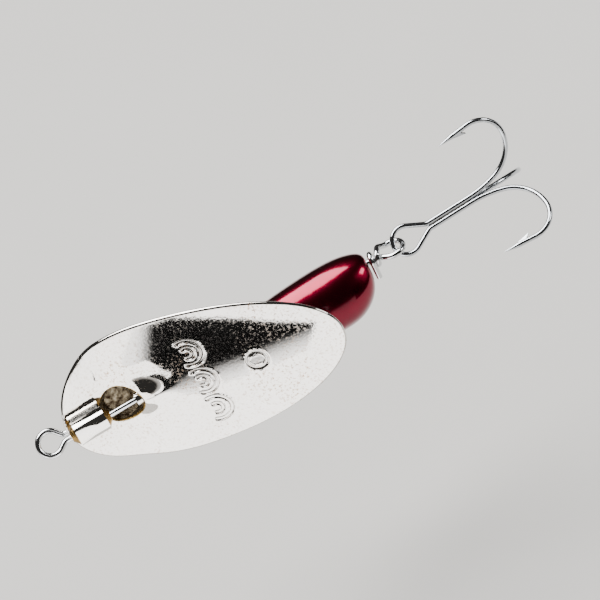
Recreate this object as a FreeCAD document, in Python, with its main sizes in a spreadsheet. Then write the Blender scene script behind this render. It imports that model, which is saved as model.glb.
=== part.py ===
import FreeCAD, Part
import math
import os
import Sketcher
from FreeCAD import Placement, Rotation, Vector

# An in-line spinner: a lure whose blade spins on a straight wire shaft. Millimetres.
# +X runs from the line-tie eye aft to the hook, +Z is up, and the blade stands out to -Y.
# The origin is the centre of the line-tie eye. "Shaft frame" below means the row's axes
# with their origin on the shaft's own axis, which runs a little off the eye's centre.

os.makedirs("parts", exist_ok=True)
doc = FreeCAD.newDocument("spinner")

SIZES = [
    # the wire
    ("wire_r", 0.35, "radius of the stainless shaft wire"),
    ("eye_r", 1.45, "line-tie eye, to the middle of its wire"),
    ("eye_rise", 0.64, "eye's centre above the shaft's axis, in the eye's plane"),
    ("eye_roll", 35, "roll of the eye's plane and of the hook's eye, degrees"),
    ("eye_tail_len", 0.51, "straight cut end of the eye, along the shaft"),
    ("eye_tail_gap", 0.06, "free space between the eye's cut end and the shaft"),
    ("eye_tail_slope", 50, "slope of the eye's side towards its cut end, degrees"),
    ("eye_tail_bend", 0.5, "bend where the cut end straightens along the shaft"),
    ("eye_shaft_slope", 35, "slope of the eye's side where it meets the shaft, degrees"),
    ("eye_shaft_bend", 0.9, "bend where the eye meets the shaft"),
    ("loop_r", 1.35, "rear loop, to the middle of its wire"),
    ("loop_run", 1.3, "from the weight's rear face to where the rear loop opens"),
    ("loop_slope", 40, "slope of the loop's sides where they leave the shaft, degrees"),
    ("loop_start_bend", 1.0, "bend where the shaft opens into the rear loop"),
    ("loop_end_bend", 0.9, "bend where the rear loop closes on the shaft"),
    ("wrap_start", 0.05, "start of the wrapped turns, aft of the loop's opening"),
    ("wrap_lead", 0.6, "lead from the loop's side to the wrapped turns"),
    ("wrap_lead_bend", 0.6, "bend at that lead"),
    ("wrap_gap", 0.04, "free space between the shaft and the turns wrapped round it"),
    ("stub", 1.3, "cut end of the wrap, below the shaft"),
    # the bearing on the blade
    ("run", 0.07, "radial clearance of what spins on the wire"),
    ("eye_gap", 0.15, "free space between the eye's cut end and the front bush"),
    ("tube_len", 3.91, "length of the bearing tube"),
    ("tube_r", 1.45, "outer radius of the bearing tube"),
    ("tube_wall", 0.4, "wall of the bearing tube"),
    ("cone_len", 0.62, "cone of a bush, outside the tube"),
    ("cone_r", 1.3, "cone of a bush, at the tube"),
    ("cone_tip", 0.62, "cone of a bush, at its tip"),
    ("bush_depth", 1.2, "length of a bush inside the tube"),
    ("film", 0.03, "braze film between tube and blade"),
    ("braze_inset", 0.2, "start of the braze inside each end of the tube"),
    # the blade
    ("sheet", 0.5, "thickness of the blade"),
    ("blade_turn", -5, "where the blade stands about the shaft at rest, degrees"),
    ("blade_lead", 0.72, "blade's front tip, ahead of the tube"),
    ("blade_aft", 20.2, "from the blade's widest place to its rear tip"),
    ("blade_fore", 12.85, "from the blade's front tip to its widest place"),
    ("half_width", 9.2, "half of the blade's width"),
    ("bend_r", 6.0, "outer face, radius of the bend behind the tube"),
    ("bend_angle", 27.5, "turn of that bend, degrees"),
    ("long_r", 170, "outer face, lengthwise radius of the long stretch"),
    ("crown_y", 70, "axis about which the blade is crowned across its width"),
    ("hole_gap", 0.02, "from the tube's rear end to the edge of the hole"),
    ("hole_r", 2.35, "radius of the hole in the blade"),
    # the cup and the sleeve behind the hole
    ("cup_lip", 0.4, "outer radius of the cup, beyond the hole's"),
    ("cup_wall", 0.3, "wall of the cup"),
    ("cup_depth", 3.0, "bottom of the cup, from the shaft's axis"),
    ("cup_corner", 1.1, "bevel round the bottom of the cup"),
    ("sleeve_proud", 0.7, "front end of the sleeve, inside the hole's rear edge"),
    ("sleeve_len", 3.0, "length of that sleeve"),
    ("sleeve_r", 0.8, "outer radius of that sleeve"),
    # bead and weight
    ("play", 0.15, "free space along the shaft, each side of the bead"),
    ("bead_r", 0.85, "radius of the thrust bead"),
    ("weight_len", 25.9, "length of the weight"),
    ("weight_r", 3.95, "largest radius of the weight"),
    ("weight_front_r", 1.15, "radius of the weight's front face"),
    ("weight_rear_r", 0.95, "radius of the weight's rear face"),
    ("weight_full", 0.8, "where the weight is fullest, as a share of its length"),
    ("weight_drop", 1.7, "drop of the weight's middle below the shaft, where fullest"),
    ("liner_r", 0.72, "outer radius of the weight's brass liner"),
    ("fit", 0.01, "clearance of a pressed or cast-in piece"),
    # the hook
    ("hook_wire", 0.3, "radius of the hook wire"),
    ("hook_lift", 1.6, "angle of the shank above the shaft at rest, degrees"),
    ("link_gap", 0.45, "free space between the loop's far end and the hook's eye"),
    ("hook_eye_r", 1.65, "hook's eye, to the middle of its wire"),
    ("hook_eye_len", 4.6, "from the eye's near end to the neck, wire middles"),
    ("neck_r", 1.2, "bend of the wire at the neck"),
    ("bundle_r", 0.38, "middle of each shank from the hook's axis"),
    ("shank_len", 5.7, "neck to the start of the flare"),
    ("flare_r", 11.5, "radius of the flare"),
    ("flare_angle", 20, "turn of the flare, degrees"),
    ("hook_low_r", 4.9, "radius of the lower half of the hook's bend"),
    ("hook_low_angle", 70, "turn of the lower half of the bend, degrees"),
    ("hook_top_r", 3.0, "radius of the upper half of the hook's bend"),
    ("hook_top_angle", 96, "turn of the upper half of the bend, degrees"),
    ("spear_len", 2.2, "bend to the start of the point"),
    ("point_len", 1.7, "length of the sharpened point"),
    ("point_tip", 0.03, "radius left at the tip of a point"),
    ("barb_len", 1.7, "length of the barb"),
    ("barb_rise", 0.75, "barb's tip, from the middle of the wire"),
    ("barb_ahead", 0.35, "reach of the barb's root along the point"),
    ("single_start", 0.1, "start of the third shank, behind the neck"),
    ("hook_braze_inset", 0.2, "start of the braze from each end of the shanks"),
    ("hook_braze_proud", 0.06, "braze outside the circle through the shanks' middles"),
]

dims = doc.addObject("Spreadsheet::Sheet", "dims")
for row, (alias, value, note) in enumerate(SIZES, start=1):
    dims.set(f"A{row}", alias)
    dims.set(f"B{row}", str(value))
    dims.set(f"C{row}", note)
    dims.setAlias(f"B{row}", alias)
doc.recompute()


def size(expression):
    """The value of an expression in the sheet's aliases, as a plain number."""
    value = dims.evalExpression(expression.replace("dims.", ""))
    return float(getattr(value, "Value", value))


SHAFT_Y = "-dims.eye_rise * sin(dims.eye_roll)"
SHAFT_Z = "-dims.eye_rise * cos(dims.eye_roll)"
SHAFT = Vector(
    0,
    -size("eye_rise") * math.sin(math.radians(size("eye_roll"))),
    -size("eye_rise") * math.cos(math.radians(size("eye_roll"))),
)
# places along the shaft, each from the one ahead of it
EYE_TAIL_X = (
    "(dims.eye_r * tan(dims.eye_tail_slope / 2) + dims.eye_tail_len"
    " + (dims.eye_r + dims.eye_rise - 2 * dims.wire_r - dims.eye_tail_gap)"
    " / tan(dims.eye_tail_slope))"
)
TUBE_X = f"({EYE_TAIL_X} + dims.eye_gap + dims.cone_len)"
TUBE_END = f"({TUBE_X} + dims.tube_len)"
BLADE_X = f"({TUBE_X} - dims.blade_lead)"
WIDEST_X = f"({BLADE_X} + dims.blade_fore)"
TAIL_X = f"({WIDEST_X} + dims.blade_aft)"
HOLE_X = f"({TUBE_END} + dims.hole_gap + dims.hole_r)"
SLEEVE_X = f"({HOLE_X} + dims.hole_r - dims.sleeve_proud)"
SLEEVE_END = f"({SLEEVE_X} + dims.sleeve_len)"
BEAD_X = f"({SLEEVE_END} + dims.play + dims.bead_r)"
WEIGHT_X = f"({BEAD_X} + dims.bead_r + dims.play)"
WEIGHT_END = f"({WEIGHT_X} + dims.weight_len)"
LOOP_SIDE = "dims.loop_r * (tan(dims.loop_slope / 2) + 1 / tan(dims.loop_slope))"
LOOP_X = f"({WEIGHT_END} + dims.loop_run + {LOOP_SIDE})"
CUP_R = "(dims.hole_r + dims.cup_lip)"
NECK = "dims.hook_eye_len - dims.link_gap - dims.wire_r - dims.hook_wire"

AXIS_DRAWN = 10  # drawn length of a construction axis, which only gives a direction
CROWN_TURN = 40  # degrees of the crown that are turned before the outline is cut
TRIM_MARGIN = 5  # the trimmed plate's reach past each tip of the blade
TRIM_SPAN = 4  # the trimmed plate's half width, in half widths of the blade
CUP_BLANK = -2  # the cup's wall before it is cut to the blade, from the shaft's axis
SEAT_CUT = -12  # far side of what is cut from the cup, from the shaft's axis
BEVEL_SHARE = math.tan(math.radians(22.5))  # an inner bevel's inset, in walls
BRAZE_FOOT = 0.85  # the tube's braze at the blade, in tube radii each way
BRAZE_TOP = 0.75  # the tube's braze at its top, in tube radii each way
BRAZE_RISE = 0.62  # height of that top from the shaft's axis, in tube radii
WRAP_ROUND = 0.98  # bend of a wrapped turn, in distances from the shaft's axis
STUB_QUARTERS = 4.4  # quarter turns of the wrap before its cut end
FRONT_STATIONS = 6  # sections of the weight ahead of its fullest place
REAR_STATIONS = 5  # sections of the weight behind it
UPPER = 120  # angles of the three hooks about the shank
LOWER = 240
THIRD = 0
BARB_ROOT = 0.4  # height of the barb's root, in wire radii
BARB_HEEL = 0.6  # start of the barb's cut, as a share of its length
BARB_THICK = 0.55  # half of the barb's thickness, in wire radii


def new_body(name, turned=False):
    """An empty PartDesign body on the shaft's axis, turned about it with the blade or not."""
    body = doc.addObject("PartDesign::Body", name)
    body.Label = name
    if turned:
        body.Placement.Rotation = Rotation(Vector(1, 0, 0), size("blade_turn"))
    body.setExpression("Placement.Base.y", SHAFT_Y)
    body.setExpression("Placement.Base.z", SHAFT_Z)
    return body


def new_sketch(body, role, name):
    """A sketch on one of the body's origin planes."""
    plane = next(f for f in body.Origin.OriginFeatures if f.Role == role)
    sketch = body.newObject("Sketcher::SketchObject", name)
    sketch.AttachmentSupport = [(plane, "")]
    sketch.MapMode = "FlatFace"
    return sketch


def bind(sketch, constraint, expression):
    """Add a constraint whose value comes from the sheet."""
    index = sketch.addConstraint(constraint)
    sketch.setExpression(f"Constraints[{index}]", expression)


def pin_point(sketch, geometry, position, across, up):
    """Hold a point of the sketch at two expressions from the sketch's origin."""
    for kind, axis, expression in (("DistanceX", -2, across), ("DistanceY", -1, up)):
        if expression == "0":
            sketch.addConstraint(
                Sketcher.Constraint("PointOnObject", geometry, position, axis)
            )
        elif expression is not None:
            value = size(expression)
            bind(
                sketch,
                Sketcher.Constraint(kind, -1, 1, geometry, position, value),
                expression,
            )


def draw_polygon(sketch, corners):
    """A closed outline of straight edges, each corner held by the sheet."""
    points = [Vector(size(x), size(y), 0) for x, y in corners]
    first = sketch.GeometryCount
    for a, b in zip(points, points[1:] + points[:1]):
        sketch.addGeometry(Part.LineSegment(a, b), False)
    last = first + len(points) - 1
    for edge in range(first, last + 1):
        after = edge + 1 if edge < last else first
        sketch.addConstraint(Sketcher.Constraint("Coincident", edge, 2, after, 1))
    for edge, (x, y) in enumerate(corners, start=first):
        pin_point(sketch, edge, 1, x, y)


def draw_circle(sketch, across, up, radius):
    """A circle held by the sheet."""
    circle = Part.Circle(Vector(size(across), size(up), 0), Vector(0, 0, 1), size(radius))
    index = sketch.addGeometry(circle, False)
    pin_point(sketch, index, 3, across, up)
    bind(sketch, Sketcher.Constraint("Radius", index, size(radius)), radius)


def turn(body, corners):
    """Turn a closed outline (along the shaft, radius) about the shaft."""
    sketch = new_sketch(body, "XY_Plane", f"{body.Name}_outline")
    draw_polygon(sketch, corners)
    turned = body.newObject("PartDesign::Revolution", f"{body.Name}_turned")
    turned.Profile = sketch
    turned.ReferenceAxis = (sketch, ["H_Axis"])
    turned.Angle = 360


def bore(body, radius, name):
    """Cut a round hole of this radius along the shaft, right through."""
    sketch = new_sketch(body, "YZ_Plane", f"{body.Name}_{name}_sketch")
    draw_circle(sketch, "0", "0", radius)
    hole = body.newObject("PartDesign::Pocket", f"{body.Name}_{name}")
    hole.Profile = sketch
    hole.Type = "ThroughAll"
    hole.Midplane = True


# ---------------------------------------------------------------- bent wire

def bent_path(corners):
    """A wire of straight runs joined by tangent arcs, from (point, bend radius) pairs."""
    edges = []
    here = corners[0][0]
    for (before, _), (corner, radius), (after, _) in zip(corners, corners[1:], corners[2:]):
        back = (before - corner).normalize()
        ahead = (after - corner).normalize()
        half = back.getAngle(ahead) / 2
        reach = radius / math.tan(half)
        start = corner + back * reach
        end = corner + ahead * reach
        inward = (back + ahead).normalize()
        middle = corner + inward * (radius / math.sin(half) - radius)
        if (start - here).Length > 1e-6:
            edges.append(Part.LineSegment(here, start).toShape())
        edges.append(Part.Arc(start, middle, end).toShape())
        here = end
    edges.append(Part.LineSegment(here, corners[-1][0]).toShape())
    return Part.Wire(edges)


def round_bar(path, radius):
    """A round wire of this radius swept along a path."""
    edge = path.OrderedEdges[0]
    start = edge.valueAt(edge.FirstParameter)
    along = edge.tangentAt(edge.FirstParameter)
    ring = Part.Wire([Part.Circle(start, along, radius).toShape()])
    sweep = Part.BRepOffsetAPI.MakePipeShell(path)
    sweep.add(ring)
    sweep.build()
    sweep.makeSolid()
    return sweep.shape()


def eye_corners():
    """The line-tie eye in its own plane, from the cut end round to the shaft."""
    ring = size("eye_r")
    rise = size("eye_rise")
    end_x = size(EYE_TAIL_X)
    tail_slope = math.radians(size("eye_tail_slope"))
    shaft_slope = math.radians(size("eye_shaft_slope"))
    tail_z = -rise + 2 * size("wire_r") + size("eye_tail_gap")
    top_x = ring * math.tan(tail_slope / 2)
    tail_x = top_x + (ring - tail_z) / math.tan(tail_slope)
    low_x = ring * math.tan(shaft_slope / 2)
    shaft_x = low_x + (ring - rise) / math.tan(shaft_slope)
    flat = [
        (end_x, tail_z, 0),
        (tail_x, tail_z, size("eye_tail_bend")),
        (top_x, ring, ring),
        (-ring, ring, ring),
        (-ring, -ring, ring),
        (low_x, -ring, ring),
        (shaft_x, -rise, size("eye_shaft_bend")),
    ]
    roll = Rotation(Vector(1, 0, 0), -size("eye_roll"))
    return [(roll.multVec(Vector(x, 0, z)), bend) for x, z, bend in flat]


def loop_corners():
    """The rear loop and the turns wrapped round the shaft, in the row's frame."""
    ring = size("loop_r")
    slope = math.radians(size("loop_slope"))
    far_x = size(LOOP_X) + ring
    near_x = size(LOOP_X) - ring * math.tan(slope / 2)
    leave_x = near_x - ring / math.tan(slope)
    turn_r = 2 * size("wire_r") + size("wrap_gap")
    step = turn_r / 4
    over_x = leave_x + size("wrap_start")
    flat = [
        (leave_x, 0, 0, size("loop_start_bend")),
        (near_x, -ring, 0, ring),
        (far_x, -ring, 0, ring),
        (far_x, ring, 0, ring),
        (near_x, ring, 0, size("loop_end_bend")),
        (over_x + size("wrap_lead"), turn_r, turn_r, size("wrap_lead_bend")),
    ]
    quarter = [(-1, 1), (-1, -1), (1, -1), (1, 1), (-1, 1)]
    for count, (y, z) in enumerate(quarter):
        flat.append((over_x - count * step, y * turn_r, z * turn_r, turn_r * WRAP_ROUND))
    last_x = over_x - STUB_QUARTERS * step
    flat.append((last_x, -turn_r, -turn_r - size("stub"), 0))
    return [(SHAFT + Vector(x, y, z), bend) for x, y, z, bend in flat]


def make_shaft_wire():
    """One stainless wire: line-tie eye, straight shaft, rear loop and its wrapped end."""
    wire = doc.addObject("Part::Feature", "shaft_wire")
    wire.Label = "shaft_wire"
    wire.Shape = round_bar(bent_path(eye_corners() + loop_corners()), size("wire_r"))
    return wire


# ---------------------------------------------------------------- blade and its bearing

def sheet_face(sketch, offset):
    """One face of the blade from front to tail: straight, bend, long arc. Returns the three."""
    y = size("tube_r + film") + offset
    rb = size("bend_r") + offset
    rl = size("long_r") - offset
    turn_by = math.radians(size("bend_angle"))
    bend_x = size(TUBE_END)
    knee = Vector(bend_x + rb * math.sin(turn_by), y - rb * (1 - math.cos(turn_by)), 0)
    far = Vector(knee.x + rl * math.sin(turn_by), knee.y + rl * math.cos(turn_by), 0)
    tail_x = size(f"{TAIL_X} + dims.sheet")
    lean = math.asin((far.x - tail_x) / rl)
    line = Part.LineSegment(Vector(size(f"{BLADE_X} - dims.sheet"), y, 0), Vector(bend_x, y, 0))
    up = Vector(0, 0, 1)
    bend_circle = Part.Circle(Vector(bend_x, y - rb, 0), up, rb)
    long_circle = Part.Circle(far, up, rl)
    quarter = math.pi / 2
    bend = Part.ArcOfCircle(bend_circle, quarter - turn_by, quarter)
    long_arc = Part.ArcOfCircle(long_circle, 3 * quarter - turn_by, 3 * quarter - lean)
    first = sketch.GeometryCount
    for geometry in (line, bend, long_arc):
        sketch.addGeometry(geometry, False)
    extra = " + dims.sheet" if offset else ""
    less = " - dims.sheet" if offset else ""
    pin_point(sketch, first, 1, f"{BLADE_X} - dims.sheet", f"dims.tube_r + dims.film{extra}")
    sketch.addConstraint(Sketcher.Constraint("Horizontal", first))
    pin_point(sketch, first, 2, TUBE_END, None)
    sketch.addConstraint(Sketcher.Constraint("Tangent", first, 2, first + 1, 2))
    bind(sketch, Sketcher.Constraint("Radius", first + 1, rb), f"dims.bend_r{extra}")
    bind(sketch, Sketcher.Constraint("Angle", first + 1, turn_by), "dims.bend_angle * 1 deg")
    sketch.addConstraint(Sketcher.Constraint("Tangent", first + 1, 1, first + 2, 1))
    bind(sketch, Sketcher.Constraint("Radius", first + 2, rl), f"dims.long_r{less}")
    pin_point(sketch, first + 2, 2, f"{TAIL_X} + dims.sheet", None)
    return first, line.StartPoint, long_arc.EndPoint


def crown_axis(sketch):
    """A construction line parallel to the shaft, about which the blade is crowned."""
    y = size("crown_y")
    axis = Part.LineSegment(Vector(0, y, 0), Vector(AXIS_DRAWN, y, 0))
    index = sketch.addGeometry(axis, True)
    sketch.addConstraint(Sketcher.Constraint("Horizontal", index))
    pin_point(sketch, index, 1, "0", "dims.crown_y")
    pin_point(sketch, index, 2, str(AXIS_DRAWN), None)


def close_between(sketch, geometry_a, end_a, point_a, geometry_b, end_b, point_b):
    """A straight edge between two open ends of an outline."""
    edge = sketch.addGeometry(Part.LineSegment(point_a, point_b), False)
    sketch.addConstraint(Sketcher.Constraint("Coincident", edge, 1, geometry_a, end_a))
    sketch.addConstraint(Sketcher.Constraint("Coincident", edge, 2, geometry_b, end_b))


def half_oval(sketch, sign, length):
    """Half of the blade's outline: an ellipse's end, pointing forward (-1) or aft (1)."""
    a = size(length)
    b = size("half_width")
    centre = Vector(size(WIDEST_X), 0, 0)
    ellipse = Part.Ellipse(centre + Vector(a, 0, 0), centre + Vector(0, b, 0), centre)
    if sign > 0:
        arc = Part.ArcOfEllipse(ellipse, -math.pi / 2, math.pi / 2)
    else:
        arc = Part.ArcOfEllipse(ellipse, math.pi / 2, 3 * math.pi / 2)
    index = sketch.addGeometry(arc, False)
    sketch.exposeInternalGeometry(index)
    major = index + 1
    pin_point(sketch, index, 3, WIDEST_X, "0")
    pin_point(sketch, index, 1, WIDEST_X, f"{-sign} * dims.half_width")
    pin_point(sketch, index, 2, WIDEST_X, None)
    sketch.addConstraint(Sketcher.Constraint("Horizontal", major))
    bind(sketch, Sketcher.Constraint("Distance", major, 2 * a), f"2 * ({length})")


def make_blade():
    """The stamped blade: a bent, crowned sheet cut to an oval, with its hole."""
    body = new_body("blade", True)
    profile = new_sketch(body, "XY_Plane", "blade_profile")
    crown_axis(profile)
    outer, outer_front, outer_tail = sheet_face(profile, 0)
    inner, inner_front, inner_tail = sheet_face(profile, size("sheet"))
    close_between(profile, outer, 1, outer_front, inner, 1, inner_front)
    close_between(profile, outer + 2, 2, outer_tail, inner + 2, 2, inner_tail)
    crowned = body.newObject("PartDesign::Revolution", "blade_crowned")
    crowned.Profile = profile
    crowned.ReferenceAxis = (profile, ["Axis0"])
    crowned.Angle = CROWN_TURN
    crowned.Midplane = True
    doc.recompute()
    outline = new_sketch(body, "XZ_Plane", "blade_outline")
    ahead = f"{BLADE_X} - {TRIM_MARGIN}"
    behind = f"{TAIL_X} + {TRIM_MARGIN}"
    span = f"dims.half_width * {TRIM_SPAN}"
    draw_polygon(outline, [
        (ahead, f"-{span}"),
        (behind, f"-{span}"),
        (behind, span),
        (ahead, span),
    ])
    half_oval(outline, -1, "dims.blade_fore")
    half_oval(outline, 1, "dims.blade_aft")
    trim = body.newObject("PartDesign::Pocket", "blade_trim")
    trim.Profile = outline
    trim.Type = "ThroughAll"
    trim.Midplane = True
    doc.recompute()
    hole_sketch = new_sketch(body, "XZ_Plane", "blade_hole_sketch")
    draw_circle(hole_sketch, HOLE_X, "0", "dims.hole_r")
    hole = body.newObject("PartDesign::Pocket", "blade_hole")
    hole.Profile = hole_sketch
    hole.Type = "ThroughAll"
    hole.Midplane = True
    doc.recompute()
    bore(body, "dims.sleeve_r + dims.fit", "Sleeve_seat")
    return body


def make_wire_cup():
    """The brass cup behind the hole, cut to sit on the blade's inner face."""
    body = new_body("wire_cup", True)
    section = new_sketch(body, "XY_Plane", "wire_cup_section")
    x = size(HOLE_X)
    axis = Part.LineSegment(Vector(x, 0, 0), Vector(x, AXIS_DRAWN, 0))
    section.addGeometry(axis, True)
    pin_point(section, 0, 1, HOLE_X, "0")
    pin_point(section, 0, 2, HOLE_X, str(AXIS_DRAWN))
    out = f"{HOLE_X} + {CUP_R}"
    depth = "dims.cup_depth"
    inset = f"(dims.cup_corner + dims.cup_wall * {BEVEL_SHARE:.4f})"
    draw_polygon(section, [
        (HOLE_X, depth),
        (f"{out} - dims.cup_corner", depth),
        (out, f"{depth} - dims.cup_corner"),
        (out, str(CUP_BLANK)),
        (f"{out} - dims.cup_wall", str(CUP_BLANK)),
        (f"{out} - dims.cup_wall", f"{depth} - {inset}"),
        (f"{out} - {inset}", f"{depth} - dims.cup_wall"),
        (HOLE_X, f"{depth} - dims.cup_wall"),
    ])
    drawn = body.newObject("PartDesign::Revolution", "wire_cup_drawn")
    drawn.Profile = section
    drawn.ReferenceAxis = (section, ["Axis0"])
    drawn.Angle = 360
    doc.recompute()
    fit_sketch = new_sketch(body, "XY_Plane", "wire_cup_fit")
    crown_axis(fit_sketch)
    face, front, tail = sheet_face(fit_sketch, size("sheet"))
    low_front = Vector(size(f"{BLADE_X} - dims.sheet"), SEAT_CUT, 0)
    low_tail = Vector(size(f"{TAIL_X} + dims.sheet"), SEAT_CUT, 0)
    bottom = fit_sketch.addGeometry(Part.LineSegment(low_front, low_tail), False)
    pin_point(fit_sketch, bottom, 1, f"{BLADE_X} - dims.sheet", str(SEAT_CUT))
    pin_point(fit_sketch, bottom, 2, f"{TAIL_X} + dims.sheet", str(SEAT_CUT))
    close_between(fit_sketch, face, 1, front, bottom, 1, low_front)
    close_between(fit_sketch, face + 2, 2, tail, bottom, 2, low_tail)
    seat = body.newObject("PartDesign::Groove", "wire_cup_seat")
    seat.Profile = fit_sketch
    seat.ReferenceAxis = (fit_sketch, ["Axis0"])
    seat.Angle = CROWN_TURN
    seat.Midplane = True
    doc.recompute()
    bore(body, "dims.sleeve_r + dims.fit", "Sleeve_seat")
    return body


def make_bearing_tube():
    """The plated tube on the blade's outer face."""
    body = new_body("bearing_tube")
    hollow = "dims.tube_r - dims.tube_wall"
    turn(body, [
        (TUBE_X, hollow),
        (TUBE_X, "dims.tube_r"),
        (TUBE_END, "dims.tube_r"),
        (TUBE_END, hollow),
    ])
    return body


def make_bush(name, face, sign):
    """A brass bush pressed into one end of the tube, with a cone outside it."""
    body = new_body(name)
    hollow = "dims.wire_r + dims.run"
    plug = "dims.tube_r - dims.tube_wall - dims.fit"
    tip = f"{face} + {sign} * dims.cone_len"
    deep = f"{face} - {sign} * dims.bush_depth"
    turn(body, [
        (tip, hollow),
        (tip, "dims.cone_tip"),
        (face, "dims.cone_r"),
        (face, plug),
        (deep, plug),
        (deep, hollow),
    ])
    return body


def make_tube_braze():
    """The braze that fills the two corners between tube and blade."""
    body = new_body("tube_braze", True)
    sketch = new_sketch(body, "YZ_Plane", "tube_braze_section")
    top = "dims.tube_r + dims.film"
    draw_polygon(sketch, [
        (top, f"-dims.tube_r * {BRAZE_FOOT}"),
        (top, f"dims.tube_r * {BRAZE_FOOT}"),
        (f"dims.tube_r * {BRAZE_RISE}", f"dims.tube_r * {BRAZE_TOP}"),
        (f"dims.tube_r * {BRAZE_RISE}", f"-dims.tube_r * {BRAZE_TOP}"),
    ])
    run = body.newObject("PartDesign::Pad", "tube_braze_run")
    run.Profile = sketch
    run.setExpression("Length", "dims.tube_len - 2 * dims.braze_inset")
    sketch.setExpression("AttachmentOffset.Base.z", f"{TUBE_X} + dims.braze_inset")
    doc.recompute()
    bore(body, "dims.tube_r + dims.fit", "Tube_seat")
    return body


def make_wire_sleeve():
    """The plated sleeve in the blade that the wire enters, and that bears on the bead."""
    body = new_body("wire_sleeve")
    hollow = "dims.wire_r + dims.run"
    turn(body, [
        (SLEEVE_X, hollow),
        (SLEEVE_X, "dims.sleeve_r"),
        (SLEEVE_END, "dims.sleeve_r"),
        (SLEEVE_END, hollow),
    ])
    return body


# ---------------------------------------------------------------- bead and weight

def make_thrust_bead():
    """The round brass bead between the blade's sleeve and the weight."""
    ball = doc.addObject("Part::Sphere", "bead_ball")
    ball.setExpression("Radius", "dims.bead_r")
    drill = doc.addObject("Part::Cylinder", "bead_drill")
    drill.setExpression("Radius", "dims.wire_r + dims.run")
    drill.setExpression("Height", "4 * dims.bead_r")
    drill.Placement = Placement(Vector(-2 * size("bead_r"), 0, 0), Rotation(Vector(0, 1, 0), 90))
    bead = doc.addObject("Part::Cut", "thrust_bead")
    bead.Label = "thrust_bead"
    bead.Base = ball
    bead.Tool = drill
    bead.setExpression("Placement.Base.x", BEAD_X)
    bead.setExpression("Placement.Base.y", SHAFT_Y)
    bead.setExpression("Placement.Base.z", SHAFT_Z)
    return bead


def weight_stations():
    """Where each round section stands along the weight, its radius and its drop, as expressions."""
    stations = []
    for count in range(FRONT_STATIONS):
        share = count / FRONT_STATIONS
        swell = (1 - math.cos(share * math.pi)) / 2
        stations.append((
            f"dims.weight_full * {share}",
            f"dims.weight_front_r + (dims.weight_r - dims.weight_front_r) * {swell:.6f}",
            f"dims.weight_drop * {swell:.6f}",
        ))
    for count in range(REAR_STATIONS + 1):
        angle = count / REAR_STATIONS * math.pi / 2
        share, swell = math.sin(angle), math.cos(angle)
        stations.append((
            f"dims.weight_full + (1 - dims.weight_full) * {share:.6f}",
            f"dims.weight_rear_r + (dims.weight_r - dims.weight_rear_r) * {swell:.6f}",
            f"dims.weight_drop * {swell:.6f}",
        ))
    return stations


def make_weight_body():
    """The cast weight: a teardrop hung below the shaft, blunt at the rear."""
    body = new_body("weight_body")
    sections = []
    for count, (share, radius, drop) in enumerate(weight_stations()):
        sketch = new_sketch(body, "YZ_Plane", f"weight_section_{count}")
        draw_circle(sketch, "0", f"-({drop})", radius)
        sketch.setExpression(
            "AttachmentOffset.Base.z", f"{WEIGHT_X} + dims.weight_len * ({share})"
        )
        sections.append(sketch)
    doc.recompute()
    loft = body.newObject("PartDesign::AdditiveLoft", "weight_cast")
    loft.Profile = sections[0]
    loft.Sections = sections[1:]
    doc.recompute()
    bore(body, "dims.liner_r + dims.fit", "Liner_bore")
    return body


def make_weight_liner():
    """The brass tube through the weight, which turns on the wire."""
    body = new_body("weight_liner")
    hollow = "dims.wire_r + dims.run"
    turn(body, [
        (WEIGHT_X, hollow),
        (WEIGHT_X, "dims.liner_r"),
        (WEIGHT_END, "dims.liner_r"),
        (WEIGHT_END, hollow),
    ])
    return body


# ---------------------------------------------------------------- treble hook
# The hook's own frame: origin in the middle of the loop's far wire, +X along the shank,
# the eye in its XZ plane. Angles of the three hooks are about +X, from +Y towards +Z.

def hook_place():
    """Where the hook hangs: at the loop's far end, rolled, and lifted a little."""
    roll = Rotation(Vector(1, 0, 0), -size("eye_roll"))
    lift = Rotation(Vector(0, 1, 0), -size("hook_lift"))
    return Placement(SHAFT + Vector(size(f"{LOOP_X} + dims.loop_r"), 0, 0), roll.multiply(lift))


def neck_x():
    """The neck of the hook's eye, along the shank."""
    return size(NECK)


def hook_plane(along, out, angle):
    """A point at this distance along the shank and out from it, in one hook's plane."""
    turned = math.radians(angle)
    return Vector(along, out * math.cos(turned), out * math.sin(turned))


def hook_corners(angle):
    """One hook, tip to neck, as corners and bend radii; then its tip and its last heading."""
    x = neck_x() + size("shank_len")
    out = size("bundle_r")
    heading = 0
    reach = 0
    corners = []
    for radius, turn_by in (
        (size("flare_r"), size("flare_angle")),
        (size("hook_low_r"), size("hook_low_angle")),
        (size("hook_top_r"), size("hook_top_angle")),
    ):
        turn_by = math.radians(turn_by)
        step = reach + radius * math.tan(turn_by / 2)
        reach = radius * math.tan(turn_by / 2)
        x += step * math.cos(heading)
        out += step * math.sin(heading)
        heading += turn_by
        corners.insert(0, (hook_plane(x, out, angle), radius))
    step = reach + size("spear_len")
    tip = (x + step * math.cos(heading), out + step * math.sin(heading))
    corners.insert(0, (hook_plane(*tip, angle), 0))
    return corners, tip, heading


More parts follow.
